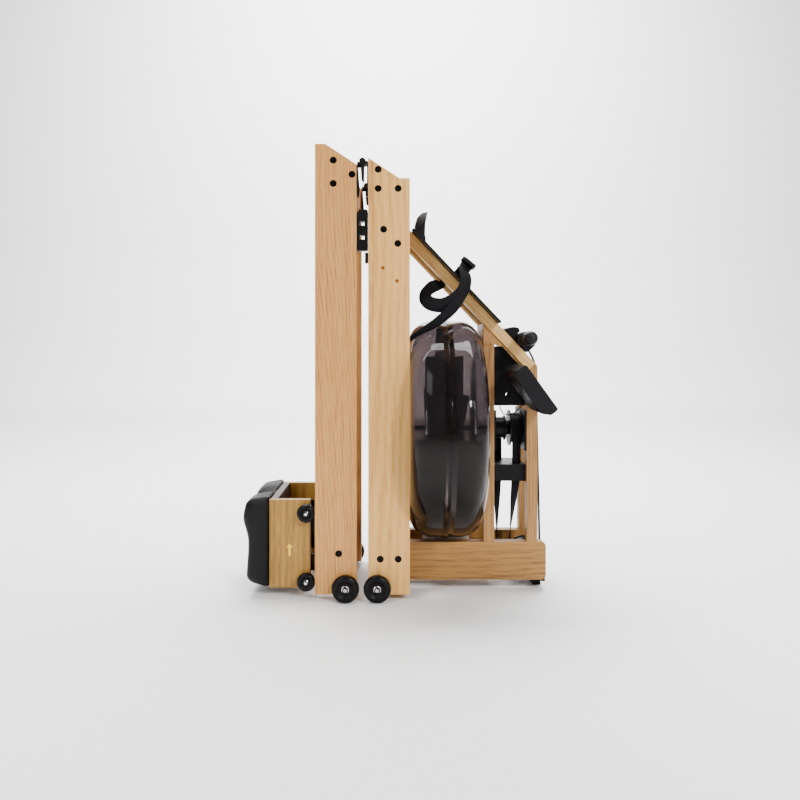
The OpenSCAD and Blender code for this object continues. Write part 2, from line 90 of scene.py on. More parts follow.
def finish(name, code, roughness, metallic=0.0, grain=0.0, grain_mm=1.0, mottle=0.0, ior=1.5, level=0.5, **more):
    """A moulded, painted or metal finish: one colour with slight mottling, and a fine bump."""
    mat = bpy.data.materials.new(name)
    mat.use_nodes = True
    tree = mat.node_tree
    tree.nodes.clear()
    where = put(tree, "ShaderNodeTexCoord").outputs["Object"]
    cloud = put(tree, "ShaderNodeTexNoise", {"Vector": where, "Scale": 14.0, "Detail": 4.0})
    rough = put(tree, "ShaderNodeMapRange", {"Value": cloud.outputs["Fac"], "From Min": 0.3, "From Max": 0.7,
                                             "To Min": roughness * 0.85, "To Max": min(1, roughness * 1.15)})
    base = linear(code)
    tone = put(tree, "ShaderNodeMix", {"Factor": cloud.outputs["Fac"], "A": base,
               "B": tuple(min(1, c * (1 + mottle) + mottle * 0.01) for c in base[:3]) + (1,)}, data_type="RGBA")
    tone.inputs[6].default_value = base
    tone.inputs[7].default_value = tuple(min(1, c * (1 + mottle) + mottle * 0.01) for c in base[:3]) + (1,)
    fine = put(tree, "ShaderNodeTexNoise", {"Vector": where, "Scale": 1000 / grain_mm, "Detail": 2.0})
    bump = put(tree, "ShaderNodeBump", {"Strength": grain, "Distance": 0.0004, "Height": fine.outputs["Fac"]})
    shader = put(tree, "ShaderNodeBsdfPrincipled", {"Base Color": tone.outputs[2], "Roughness": rough.outputs["Result"],
                 "Metallic": metallic, "IOR": ior, "Specular IOR Level": level, "Normal": bump.outputs["Normal"],
                 **more})
    put(tree, "ShaderNodeOutputMaterial", {"Surface": shader.outputs["BSDF"]})
    return mat


# PVC flex: smooth black plasticised vinyl, which shines softly.
pvc_flex = finish("black_pvc_flex", "#040404", 0.4, level=0.14, grain=0.1)


def smooth_path(points, steps):
    """A Catmull-Rom run through the points."""
    pts = [Vector(p) for p in points]
    pts = [2 * pts[0] - pts[1]] + pts + [2 * pts[-1] - pts[-2]]
    out = []
    for i in range(1, len(pts) - 2):
        a, b, c, d = pts[i - 1:i + 3]
        for k in range(steps):
            t = k / steps
            out.append(0.5 * (2 * b + (c - a) * t + (2 * a - 5 * b + 4 * c - d) * t * t
                              + (3 * b - a - 3 * c + d) * t ** 3))
    return out + [pts[-2]]


def flex(name, points, diameter, mat, node):
    """A round cord along the points, as a curve."""
    data = bpy.data.curves.new(name, "CURVE")
    data.dimensions = "3D"
    data.bevel_depth = diameter / 2
    data.bevel_resolution = 3
    data.use_fill_caps = True
    line = data.splines.new("POLY")
    line.points.add(len(points) - 1)
    for spot, p in zip(line.points, points):
        spot.co = (*p, 1)
    data.materials.append(mat)
    made = bpy.data.objects.new(name, data)
    bpy.context.scene.collection.objects.link(made)
    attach(made, "front_frame")
    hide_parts(node)
    return made


lead_y = -0.0435
flex("sensor_lead_loop", smooth_path([(0.334, lead_y, 0.484), (0.326, lead_y, 0.466), (0.312, lead_y, 0.452),
     (0.300, lead_y, 0.441), (0.287, lead_y, 0.4365), (0.273, lead_y, 0.441), (0.265, lead_y, 0.455),
     (0.262, lead_y, 0.475)], 4), 0.003, pvc_flex, "sensor_lead")

# --- Return cord ----------------------------------------------------------
# Braided shock cord that takes up the strap: a rubber core in woven black
# sleeve, stretched behind the tank up to the foot board's crossmember.
shock_cord = finish("black_shock_cord_sleeve", "#070608", 0.75, level=0.14, grain=0.8, grain_mm=2.5)
flex("return_cord", [Vector((-0.033, 0, 0.1605 + 0.693 * k / 20)) for k in range(21)], 0.008, shock_cord,
     "bungee_cord")

# --- Studio ---------------------------------------------------------------
# Pale paper sweep, a broad soft light from the upper left and front, and a
# weaker one from the right.
sweep = bpy.data.meshes.new("paper_sweep")
side = [(-3.5, 0), (2.2, 0), (3.1, 0.25), (3.6, 0.9), (3.8, 2.0), (3.8, 6.0)]
side = [(p.x, p.y) for p in smooth_path([(y, z, 0) for y, z in side], 6)]
sweep_verts = [(x, y, max(z, 0)) for y, z in side for x in (-7, 7)]
sweep.from_pydata(sweep_verts, [], [(2 * i, 2 * i + 1, 2 * i + 3, 2 * i + 2) for i in range(len(side) - 1)])
for face in sweep.polygons:
    face.use_smooth = True
paper = finish("white_sweep_paper", "#f4f4f4", 0.9)
sweep.materials.append(paper)
sweep_object = bpy.data.objects.new("paper_sweep", sweep)
bpy.context.scene.collection.objects.link(sweep_object)

world = bpy.data.worlds.new("studio_fill")
bpy.context.scene.world = world
world.use_nodes = True
world.node_tree.nodes["Background"].inputs["Color"].default_value = (1, 1, 1, 1)
world.node_tree.nodes["Background"].inputs["Strength"].default_value = 0.15
for name, place, aim, wide, tall, power in (
        ("key_panel", (1.5, -2.8, 2.0), (0, 0, 0.5), 0.35, 0.35, 84),
        ("top_panel", (-1.3, -1.9, 3.0), (0, 0, 0.7), 1.4, 1.4, 36),
        ("left_strip", (-1.15, -1.5, 0.8), (0.12, -0.1, 0.5), 0.05, 0.9, 10.0),
        ("right_strip", (1.25, -1.3, 0.8), (0.12, -0.1, 0.5), 0.05, 0.9, 8.0),
        ("sweep_panel", (0, 1.2, 3.6), (0, 3.4, 0.7), 3.2, 3.2, 640)):
    lamp = bpy.data.lights.new(name, "AREA")
    lamp.energy = power
    lamp.shape = "RECTANGLE"
    lamp.size = wide
    lamp.size_y = tall
    lamp_object = bpy.data.objects.new(name, lamp)
    lamp_object.location = place
    lamp_object.rotation_euler = (Vector(aim) - Vector(place)).to_track_quat("-Z", "Y").to_euler()
    bpy.context.scene.collection.objects.link(lamp_object)


# --- Oak frame boards -----------------------------------------------------
# Solid oak, planed and sanded, edges eased to about 1.5 mm, and sealed with a
# clear satin oil. Each board's grain runs along its own length.
def oak(name, turn, place, light, mid, dark, ring_mm=9.0):
    """Oak with growth rings round a pith line behind the board, and open pores along the grain."""
    mat = bpy.data.materials.new(name)
    mat.use_nodes = True
    tree = mat.node_tree
    tree.nodes.clear()
    where = put(tree, "ShaderNodeTexCoord").outputs["Object"]
    along = put(tree, "ShaderNodeMapping", {"Vector": where, "Rotation": turn}).outputs["Vector"]
    bend = put(tree, "ShaderNodeMapping", {"Vector": along, "Scale": (5, 5, 1.4), "Location": place})
    sway = put(tree, "ShaderNodeTexNoise", {"Vector": bend.outputs["Vector"], "Scale": 1.0, "Detail": 2.0})
    shove = put(tree, "ShaderNodeVectorMath", {0: sway.outputs["Color"], 1: (0.05, 0.05, 0.0)}, operation="MULTIPLY")
    log = put(tree, "ShaderNodeVectorMath", {0: along, 1: shove.outputs[0]}, operation="ADD")
    tilt = put(tree, "ShaderNodeMapping", {"Vector": log.outputs[0], "Rotation": (0.035, 0.022, 0), "Location": place})
    rings = put(tree, "ShaderNodeTexWave", {"Vector": tilt.outputs["Vector"], "Scale": 314 / ring_mm / 1.0,
                "Distortion": 1.2, "Detail": 3.0, "Detail Scale": 0.6}, wave_type="RINGS", rings_direction="Z")
    pore_map = put(tree, "ShaderNodeMapping", {"Vector": along, "Scale": (600, 600, 22), "Location": place})
    pores = put(tree, "ShaderNodeTexNoise", {"Vector": pore_map.outputs["Vector"], "Scale": 1.0, "Detail": 3.0})
    streak_map = put(tree, "ShaderNodeMapping", {"Vector": along, "Scale": (110, 110, 2.2), "Location": place})
    streaks = put(tree, "ShaderNodeTexNoise", {"Vector": streak_map.outputs["Vector"], "Scale": 1.0, "Detail": 4.0})
    stave_map = put(tree, "ShaderNodeMapping", {"Vector": along, "Scale": (7, 7, 0.8), "Location": place})
    staves = put(tree, "ShaderNodeTexNoise", {"Vector": stave_map.outputs["Vector"], "Scale": 1.0, "Detail": 1.0})
    ring_part = put(tree, "ShaderNodeMath", {0: rings.outputs["Fac"], 1: 0.13}, operation="MULTIPLY")
    pore_part = put(tree, "ShaderNodeMath", {0: pores.outputs["Fac"], 1: 0.66, 2: ring_part.outputs[0]},
                    operation="MULTIPLY_ADD")
    streak_part = put(tree, "ShaderNodeMath", {0: streaks.outputs["Fac"], 1: 0.34, 2: pore_part.outputs[0]},
                      operation="MULTIPLY_ADD")
    stave_part = put(tree, "ShaderNodeMath", {0: staves.outputs["Fac"], 1: 0.30, 2: streak_part.outputs[0]},
                     operation="MULTIPLY_ADD")
    ramp = put(tree, "ShaderNodeValToRGB", {"Fac": stave_part.outputs[0]})
    stops = ramp.color_ramp.elements
    stops[0].position, stops[0].color = 0.48, linear(dark)
    stops[1].position, stops[1].color = 0.90, linear(light)
    middle = stops.new(0.66)
    middle.color = linear(mid)
    groove = put(tree, "ShaderNodeBump", {"Strength": 0.35, "Distance": 0.0005, "Height": pore_part.outputs[0]})
    shine = put(tree, "ShaderNodeMapRange", {"Value": pores.outputs["Fac"], "To Min": 0.62, "To Max": 0.42})
    shader = put(tree, "ShaderNodeBsdfPrincipled", {"Base Color": ramp.outputs["Color"], "IOR": 1.5,
                 "Roughness": shine.outputs["Result"], "Normal": groove.outputs["Normal"]})
    put(tree, "ShaderNodeOutputMaterial", {"Surface": shader.outputs["BSDF"]})
    return mat


upright_grain = (0, 0, 0)
level_grain = (0, -math.pi / 2, 0)
cross_grain = (math.pi / 2, 0, 0)
board_grain = (0, math.radians(43.36), 0)
# The colour sets differ from board to board, and part of that difference is painted light and shade: the darker sets of
# the posts, the level boards, the cross pieces and the seat sides are darkened for the shade those boards stand in, and
# the spars' pale yellow set is lightened for their lit near face.
oak_front = oak("oak_oiled_front_rails", upright_grain, (0.09, 0.31, 0.2), "#ddae62", "#d1994b", "#a86f2b", 12)
oak_rear = oak("oak_oiled_rear_rails", upright_grain, (0.35, -0.12, 0.7), "#cc9650", "#b97e3a", "#905c26", 5)
oak_posts = oak("oak_oiled_posts", upright_grain, (-0.21, 0.17, 0.4), "#ab7d42", "#946730", "#6d451b", 7)
oak_level = oak("oak_oiled_level", level_grain, (0.13, 0.08, 1.1), "#a97634", "#93672b", "#6c461b", 13)
oak_cross = oak("oak_oiled_cross", cross_grain, (0.4, 0.27, 0.3), "#b98448", "#9d6c34", "#70481e", 8)
oak_slope = oak("oak_oiled_slope", board_grain, (0.12, -0.26, 0.9), "#e0b872", "#cfa05c", "#a67a3a", 9)
oak_seat = oak("oak_oiled_seat_sides", upright_grain, (0.51, 0.22, -0.3), "#a98134", "#936a22", "#745218", 14)
# Painted shade: the seat base board's near-black browns stand for the shade that falls inside the seat box behind the
# cushion.
shade_dark_board = oak("seat_board_painted_shade", cross_grain, (0.2, 0.6, 0.1), "#3d2614", "#26170b", "#120a05", 9)


def eased(name, node, body, mat, ease=0.0015, segments=2):
    """A board with the CAD node's exact shape and eased edges. It stands for the node."""
    made = bpy.data.objects.new(name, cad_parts[node].data.copy())
    bpy.context.scene.collection.objects.link(made)
    shape = bmesh.new()
    shape.from_mesh(made.data)
    bmesh.ops.remove_doubles(shape, verts=shape.verts, dist=1e-5)
    bmesh.ops.dissolve_limit(shape, angle_limit=math.radians(1), verts=shape.verts, edges=shape.edges)
    sharp = [e for e in shape.edges if len(e.link_faces) == 2 and e.calc_face_angle(0) > math.radians(35)]
    bmesh.ops.bevel(shape, geom=sharp, offset=ease, segments=segments, profile=0.5, affect="EDGES",
                    clamp_overlap=True)
    shape.to_mesh(made.data)
    shape.free()
    made.data.materials.clear()
    made.data.materials.append(mat)
    for face in made.data.polygons:
        face.use_smooth = False
        face.material_index = 0
    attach(made, body)
    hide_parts(node)
    return made


for node, mat in (("front_rails", oak_front), ("front_hinge_block", oak_cross), ("foot_crossmember", oak_cross),
                  ("front_blocks", oak_cross), ("lower_deck_bars", oak_posts), ("foot_spars", oak_slope),
                  ("deck_wedge_block", oak_cross), ("tank_support_boards", oak_cross)):
    eased(node + "_oak", node, "front_frame", mat)
eased("upper_deck_bars_oak", "upper_deck_bars", "front_frame", oak_posts)
eased("front_uprights_oak", "front_uprights", "front_frame", oak_level, 0.002)
for node, mat in (("rear_rails", oak_rear), ("rear_hinge_block", oak_cross), ("rear_crossbar", oak_cross)):
    eased(node + "_oak", node, "rear_frame", mat)
eased("seat_side_plates_oak", "seat_side_plates", "seat", oak_seat, 0.004, 3)
eased("seat_base_board", "seat_base", "seat", shade_dark_board, 0.0015)

# --- Steelwork and moulded parts kept from the CAD ------------------------
# Folded steel cheeks and hinge leaves in black powder coat, black oxide bolts,
# zinc-plated axles, and moulded nylon guides and pulleys.
powder_coat = finish("black_powder_coat_steel", "#040304", 0.5, level=0.14, grain=0.5, grain_mm=1.2, mottle=0.3)
black_oxide = finish("black_oxide_screw_steel", "#0b0a0b", 0.4, metallic=0.9, grain=0.2, mottle=0.4)
zinc = finish("zinc_plated_steel", "#b9babd", 0.32, metallic=1.0, grain=0.2, mottle=0.1)
nylon = finish("black_moulded_nylon", "#040405", 0.42, level=0.14, grain=0.4, grain_mm=1.5, mottle=0.3)
blade_nylon = finish("black_glass_filled_nylon", "#060606", 0.35, level=0.14, grain=0.3, grain_mm=2.0)
track_metal = finish("grey_anodised_aluminium", "#5c5c60", 0.4, metallic=0.9, grain=0.2)
foot_rubber = finish("black_vulcanised_rubber", "#060506", 0.75, level=0.14, grain=0.6, grain_mm=1.5)
for nodes, mat in ((("deck_cheeks", "bearing_plates", "console_arm", "hinge_front", "hinge_rear"), powder_coat),
                   (("front_fasteners", "rear_fasteners", "seat_hardware"), black_oxide), (("frame_axles",), zinc),
                   (("strap_guide", "fold_catch", "top_roller", "front_pulley", "recoil_pulley", "strap_drum"), nylon),
                   (("paddle",), blade_nylon), (("seat_tracks",), track_metal), (("rubber_feet",), foot_rubber)):
    for node in nodes:
        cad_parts[node].data.materials.clear()
        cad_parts[node].data.materials.append(mat)


# --- Water tank -----------------------------------------------------------
# Two deep drawn half shells of smoked polycarbonate, 4 mm thick, clamped
# together round a rubber seal at the rim. The shaft leaves through a neck.
def turned(name, profile, steps, axis, closed, mats=(), pick=None):
    """A lathe shape: (radius, distance along) points turned round the X or Y axis line given."""
    kind, cx, cy, cz = axis
    made = bpy.data.meshes.new(name)
    shape = bmesh.new()
    rows = []
    for r, d in profile:
        row = []
        for k in range(1 if r < 1e-6 else steps):
            a = 2 * math.pi * k / steps
            p, q = r * math.cos(a), r * math.sin(a)
            row.append(shape.verts.new((cx + d, cy + p, cz + q) if kind == "X" else (cx + p, cy + d, cz + q)))
        rows.append(row)
    pairs = list(zip(range(len(rows)), range(1, len(rows)))) + ([(len(rows) - 1, 0)] if closed else [])
    for number, (i, j) in enumerate(pairs):
        one, two = rows[i], rows[j]
        for k in range(steps):
            m = (k + 1) % steps
            ring = [one[k % len(one)], one[m % len(one)], two[m % len(two)], two[k % len(two)]]
            ring = [v for n, v in enumerate(ring) if v not in ring[:n]]
            if len(ring) > 2:
                face = shape.faces.new(ring)
                face.smooth = True
                face.material_index = pick(number) if pick else 0
    bmesh.ops.recalc_face_normals(shape, faces=shape.faces)
    shape.to_mesh(made)
    shape.free()
    for mat in mats:
        made.materials.append(mat)
    made_object = bpy.data.objects.new(name, made)
    bpy.context.scene.collection.objects.link(made_object)
    return made_object


def arc(cr, cd, r, start, end, steps):
    """Profile points round a corner, angles in degrees from the radius direction."""
    return [(cr + r * math.cos(math.radians(start + (end - start) * k / steps)),
             cd + r * math.sin(math.radians(start + (end - start) * k / steps))) for k in range(steps + 1)]


def see_through(name, code, lamp_code, ior, roughness, through, wobble, wobble_size, murk=None):
    """A clear material; lamp light passes it straight, so that what is inside is lit."""
    mat = bpy.data.materials.new(name)
    mat.use_nodes = True
    tree = mat.node_tree
    tree.nodes.clear()
    where = put(tree, "ShaderNodeTexCoord").outputs["Object"]
    cloud = put(tree, "ShaderNodeTexNoise", {"Vector": where, "Scale": wobble_size, "Detail": 2.0})
    bump = put(tree, "ShaderNodeBump", {"Strength": wobble, "Distance": 0.003, "Height": cloud.outputs["Fac"]})
    shader = put(tree, "ShaderNodeBsdfPrincipled", {"Base Color": linear(code), "Roughness": roughness, "IOR": ior,
                 "Transmission Weight": through, "Specular IOR Level": 0.2, "Normal": bump.outputs["Normal"]})
    if murk:
        tone = put(tree, "ShaderNodeValToRGB", {"Fac": cloud.outputs["Fac"]})
        tone.color_ramp.elements[0].position, tone.color_ramp.elements[0].color = 0.35, linear(code)
        tone.color_ramp.elements[1].position, tone.color_ramp.elements[1].color = 0.7, linear(murk)
        tree.links.new(tone.outputs["Color"], shader.inputs["Base Color"])
    lamp_only = put(tree, "ShaderNodeLightPath").outputs["Is Shadow Ray"]
    straight = put(tree, "ShaderNodeBsdfTransparent", {"Color": linear(lamp_code)})
    both = put(tree, "ShaderNodeMixShader", {0: lamp_only, 1: shader.outputs["BSDF"], 2: straight.outputs["BSDF"]})
    put(tree, "ShaderNodeOutputMaterial", {"Surface": both.outputs["Shader"]})
    return mat


# Smoked polycarbonate: clear grey-brown plastic, injection moulded and glossy.
# Its index is set low, so that the pale floor's reflection doesn't hide the water.
smoked = see_through("smoked_polycarbonate", "#7a7274", "#b8b1b2", 1.2, 0.03, 0.97, 0.15, 9.0)

tank_low, tank_high = 0.033, 0.217
tank_wall = 0.004
tank_outer = [(0.0, tank_low), (0.219, tank_low)] + arc(0.219, 0.091, 0.058, -90, 0, 14)[1:] \
    + arc(0.219, 0.159, 0.058, 0, 90, 14) + [(0.024, tank_high), (0.020, tank_high + 0.003),
                                             (0.0195, 0.2248), (0.0185, 0.225), (0.0062, 0.225)]
tank_inner = [(0.0062, tank_high - tank_wall)] + arc(0.219, 0.159, 0.054, 90, 0, 14) \
    + arc(0.219, 0.091, 0.054, 0, -90, 14) + [(0.0, tank_low + tank_wall)]
tank = turned("tank_shell", tank_outer + tank_inner, 128, ("X", 0, 0, 0.4), False, [smoked])
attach(tank, "front_frame")
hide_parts("tank_shell_lower", "tank_shell_upper")

# --- Tank rim and filler --------------------------------------------------
# Clamp band of darker smoked plastic over the seal, with a narrow flange lip,
# and a screw-in filler plug of black nylon in the end face.
clear_band = see_through("dark_smoked_polycarbonate", "#544b4c", "#a09898", 1.2, 0.06, 0.95, 0.1, 12.0)
tank_band = turned("tank_rim_band", [(0.2772, 0.112), (0.2785, 0.1125), (0.2785, 0.1235), (0.2806, 0.124),
                   (0.2806, 0.126), (0.2785, 0.1265), (0.2785, 0.1375), (0.2772, 0.138)], 128,
                   ("X", 0, 0, 0.4), True, [clear_band])
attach(tank_band, "front_frame")
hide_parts("tank_fittings")
plug = turned("tank_filler_plug", [(0.0, 0.2172), (0.0135, 0.2172), (0.014, 0.218), (0.014, 0.2225),
              (0.0132, 0.2235), (0.009, 0.2238), (0.008, 0.2225), (0.0, 0.2225)], 32,
              ("X", 0, 0, 0.53), False, [nylon])
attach(plug, "front_frame")


def grown(name, tree, values):
    """Runs a node tree and keeps its result as a plain mesh."""
    seed = bpy.data.objects.new(name + "_seed", bpy.data.meshes.new(name + "_seed"))
    bpy.context.scene.collection.objects.link(seed)
    grower = seed.modifiers.new("grow", "NODES")
    grower.node_group = tree
    for item in tree.interface.items_tree:
        if item.item_type == "SOCKET" and item.in_out == "INPUT" and item.name in values:
            grower[item.identifier] = values[item.name]
    bpy.context.view_layer.update()
    grid = bpy.context.evaluated_depsgraph_get()
    result = bpy.data.meshes.new_from_object(seed.evaluated_get(grid))
    bpy.data.objects.remove(seed)
    made = bpy.data.objects.new(name, result)
    bpy.context.scene.collection.objects.link(made)
    return made


def new_tree(name, sockets):
    tree = bpy.data.node_groups.new(name, "GeometryNodeTree")
    for label, kind in sockets:
        tree.interface.new_socket(name=label, in_out="INPUT", socket_type=kind)
    tree.interface.new_socket(name="Geometry", in_out="OUTPUT", socket_type="NodeSocketGeometry")
    return tree


# --- Water ----------------------------------------------------------------
# About a third of the tank, up to the paddle shaft, with the green-brown cast
# of water that has stood in its tank.
water_mat = see_through("standing_water", "#1f180b", "#55492c", 1.2, 0.04, 0.3, 0.05, 7.0, "#4a3d20")
skin = 0.0006
water_profile = [(0.0, tank_high - tank_wall - skin)] + arc(0.219, 0.159, 0.054 - skin, 90, 0, 12) \
    + arc(0.219, 0.091, 0.054 - skin, 0, -90, 12) + [(0.0, tank_low + tank_wall + skin)]
water = turned("tank_water", water_profile, 128, ("X", 0, 0, 0.4), False, [water_mat])
shape = bmesh.new()
shape.from_mesh(water.data)
cut = bmesh.ops.bisect_plane(shape, geom=shape.verts[:] + shape.edges[:] + shape.faces[:],
                             plane_co=(0, 0, 0.399), plane_no=(0, 0, 1), clear_outer=True)
bmesh.ops.holes_fill(shape, edges=[e for e in shape.edges if e.is_boundary])
bmesh.ops.recalc_face_normals(shape, faces=shape.faces)
for face in shape.faces:
    face.smooth = abs(face.normal.z) < 0.999
shape.to_mesh(water.data)
shape.free()
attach(water, "front_frame")
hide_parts("water_fill")

# --- Condensation ---------------------------------------------------------
# Fine drops of tank water clinging inside the top of the shell, left by the
# paddle's spray.
drop_tree = new_tree("drops", [("Count", "NodeSocketInt"), ("Wall radius", "NodeSocketFloat"), ("Spread", "NodeSocketFloat"),
                               ("From", "NodeSocketFloat"), ("To", "NodeSocketFloat"), ("Drop radius", "NodeSocketFloat"),
                               ("Axis", "NodeSocketVector"), ("Seed", "NodeSocketInt"), ("Finish", "NodeSocketMaterial")])
given = put(drop_tree, "NodeGroupInput")
dots = put(drop_tree, "GeometryNodeMeshLine", {"Count": given.outputs["Count"]})
minus = put(drop_tree, "ShaderNodeMath", {0: given.outputs["Spread"], 1: -1.0}, operation="MULTIPLY")
turn = put(drop_tree, "FunctionNodeRandomValue", {2: minus.outputs[0], 3: given.outputs["Spread"],
                                                  "Seed": given.outputs["Seed"]}, data_type="FLOAT")
next_seed = put(drop_tree, "ShaderNodeMath", {0: given.outputs["Seed"], 1: 7.0}, operation="ADD")
along = put(drop_tree, "FunctionNodeRandomValue", {2: given.outputs["From"], 3: given.outputs["To"],
                                                   "Seed": next_seed.outputs[0]}, data_type="FLOAT")
sine = put(drop_tree, "ShaderNodeMath", {0: turn.outputs[1]}, operation="SINE")
cosine = put(drop_tree, "ShaderNodeMath", {0: turn.outputs[1]}, operation="COSINE")
off_y = put(drop_tree, "ShaderNodeMath", {0: sine.outputs[0], 1: given.outputs["Wall radius"]}, operation="MULTIPLY")
off_z = put(drop_tree, "ShaderNodeMath", {0: cosine.outputs[0], 1: given.outputs["Wall radius"]}, operation="MULTIPLY")
off = put(drop_tree, "ShaderNodeCombineXYZ", {"X": along.outputs[1], "Y": off_y.outputs[0], "Z": off_z.outputs[0]})
spot = put(drop_tree, "ShaderNodeVectorMath", {0: off.outputs[0], 1: given.outputs["Axis"]}, operation="ADD")
placed = put(drop_tree, "GeometryNodeSetPosition", {"Geometry": dots.outputs["Mesh"], "Position": spot.outputs[0]})
bead = put(drop_tree, "GeometryNodeMeshIcoSphere", {"Radius": given.outputs["Drop radius"], "Subdivisions": 2})
swell = put(drop_tree, "FunctionNodeRandomValue", {2: 0.5, 3: 1.6, "Seed": given.outputs["Seed"]}, data_type="FLOAT")
beads = put(drop_tree, "GeometryNodeInstanceOnPoints", {"Points": placed.outputs[0], "Instance": bead.outputs["Mesh"],
                                                        "Scale": swell.outputs[1]})
solid = put(drop_tree, "GeometryNodeRealizeInstances", {"Geometry": beads.outputs[0]})
dressed = put(drop_tree, "GeometryNodeSetMaterial", {"Geometry": solid.outputs[0], "Material": given.outputs["Finish"]})
put(drop_tree, "NodeGroupOutput", {"Geometry": dressed.outputs[0]})
# Clean water in small drops.
clear_water = see_through("water_drops", "#d8d6d6", "#e8e6e6", 1.33, 0.1, 0.8, 0.05, 90.0)
drops = grown("tank_drops", drop_tree, {"Count": 260, "Wall radius": 0.2722, "Spread": 1.1, "From": 0.092, "To": 0.158,
              "Drop radius": 0.0009, "Axis": (0, 0, 0.4), "Seed": 4, "Finish": clear_water})
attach(drops, "front_frame")

# --- Transport and seat wheels --------------------------------------------
# Cast polyurethane tyres, skate-wheel shape, on moulded hubs with a pressed
# ball bearing and a bright nut. The seat's are smaller and harder.
tyre = finish("black_cast_polyurethane", "#040304", 0.3, level=0.14, grain=0.15, mottle=0.4)
hub = finish("black_hub_nylon", "#0a0a0b", 0.45, level=0.14, grain=0.3)
bearing_steel = finish("ground_bearing_steel", "#c9c9cc", 0.22, metallic=1.0)


def skate_wheel(name, node, body, x, y, z, r, w, bore, out):
    """A wheel about the Y axis with its inner face at y, its outer face towards out (+1 or -1)."""
    side = [(bore, 0.12 * w), (0.25 * r, 0.12 * w), (0.27 * r, 0.16 * w), (0.56 * r, 0.16 * w), (0.60 * r, 0.02 * w),
            (0.66 * r, 0.0), (0.80 * r, 0.02 * w)]
    crown = [(0.90 * r, 0.07 * w), (0.965 * r, 0.17 * w), (0.993 * r, 0.32 * w), (r, 0.5 * w)]
    half = side + crown
    whole = half + [(rr, w - d) for rr, d in reversed(half[:-1])]
    whole = [(rr, out * d) for rr, d in whole]
    n = len(whole)
    kinds = [2, 2, 1, 1, 0, 0] + [0] * (n - 13) + [0, 0, 1, 1, 2, 2, 2]
    made = turned(name, whole, 48, ("Y", x, y, z), True, [tyre, hub, bearing_steel], lambda k: kinds[k] if k < n - 1 else 2)
    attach(made, body)
    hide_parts(node)
    return made


for side_name, out in (("right", -1), ("left", 1)):
    for end, x in (("front", -0.045), ("rear", -0.121)):
        skate_wheel(f"{end}_transport_wheel_{side_name}", f"{end}_wheel_{side_name}", f"{end}_wheel_{side_name}",
                    x, out * 0.154, 0.033, 0.033, 0.024, 0.00505, out)
        cap = turned(f"{end}_axle_nut_{side_name}", [(0.0, out * 0.0276), (0.0034, out * 0.0274), (0.0048, out * 0.0262),
                     (0.0050, out * 0.0245), (0.0, out * 0.0245)], 24, ("Y", x, out * 0.1545, 0.033), False, [bearing_steel])
        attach(cap, f"{end}_frame")
    for end, z in (("upper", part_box("seat_wheel_upper_right")), ("lower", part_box("seat_wheel_lower_right"))):
        middle = (z[0] + z[1]) / 2
        r = (z[1].z - z[0].z) / 2
        skate_wheel(f"seat_roller_{end}_{side_name}", f"seat_wheel_{end}_{side_name}", f"seat_wheel_{end}_{side_name}",
                    middle.x, out * 0.1284, middle.z, r, 0.0196, 0.00405, out)
        cap = turned(f"seat_axle_nut_{end}_{side_name}", [(0.0, out * 0.0227), (0.0030, out * 0.0226), (0.0046, out * 0.0218),
                     (0.0050, out * 0.0203), (0.0, out * 0.0203)], 24, ("Y", middle.x, out * 0.1284, middle.z), False,
                     [bearing_steel])
        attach(cap, "seat")

# --- Seat pad -------------------------------------------------------------
# Moulded polyurethane foam with its own tough skin, shaped for two thighs,
# with a raised rear edge and a groove down the middle, screwed to the board.
pad_skin = finish("black_integral_skin_foam", "#040406", 0.5, level=0.14, grain=0.7, grain_mm=2.2, mottle=0.5)
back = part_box("seat_base")[0].x - 0.0006
half_wide = 0.136
low_z, high_z = 0.026, 0.2435


def pad_depth(across, up):
    """Foam thickness at across (-1 to 1) and up (0 at the thigh edge, 1 at the raised edge)."""
    lobe = 1 - 0.30 * math.exp(-(across / 0.16) ** 2)
    bulge = 0.0535 + 0.013 * math.exp(-((up - 0.76) / 0.17) ** 2) + 0.003 * math.cos(up * 5)
    return bulge * (0.74 + 0.26 * lobe)


shape = bmesh.new()
cells = 44
grid = []
for i in range(cells + 1):
    row = []
    for j in range(cells + 1):
        across, up = 2 * i / cells - 1, j / cells
        edge = max(0.0, 1 - (1 - abs(across)) / 0.16), max(0.0, 1 - up / 0.13, 1 - (1 - up) / 0.10)
        fall = math.sqrt(max(0.0, 1 - min(1.0, edge[0] ** 2.4 + edge[1] ** 2.4)))
        notch = 0.020 * math.exp(-(across / 0.22) ** 2) * max(0, (up - 0.6) / 0.4) ** 2
        inset = 0.012 * (1 - (1 - max(0, abs(across) - 0.8) / 0.2 * max(0, abs(2 * up - 1) - 0.8) / 0.2))
        row.append(shape.verts.new((back - 0.010 - (pad_depth(across, up) - 0.010) * fall,
                                    across * (half_wide - inset), low_z + (high_z - low_z - notch) * up)))
    grid.append(row)
for i in range(cells):
    for j in range(cells):
        shape.faces.new((grid[i][j], grid[i + 1][j], grid[i + 1][j + 1], grid[i][j + 1]))
rim = [grid[i][0] for i in range(cells + 1)] + [grid[cells][j] for j in range(1, cells + 1)] \
    + [grid[i][cells] for i in range(cells - 1, -1, -1)] + [grid[0][j] for j in range(cells - 1, 0, -1)]
last = rim
for drop, shrink in ((0.0, 0.985), (-0.001, 0.975)):
    fresh = [shape.verts.new((back + drop, v.co.y * shrink, 0.1345 + (v.co.z - 0.1345) * shrink)) for v in rim]
    for k in range(len(rim)):
        m = (k + 1) % len(rim)
        shape.faces.new((last[k], last[m], fresh[m], fresh[k]))
    last = fresh
shape.faces.new(last)
bmesh.ops.recalc_face_normals(shape, faces=shape.faces)
for face in shape.faces:
    face.smooth = True
pad_mesh = bpy.data.meshes.new("seat_pad")
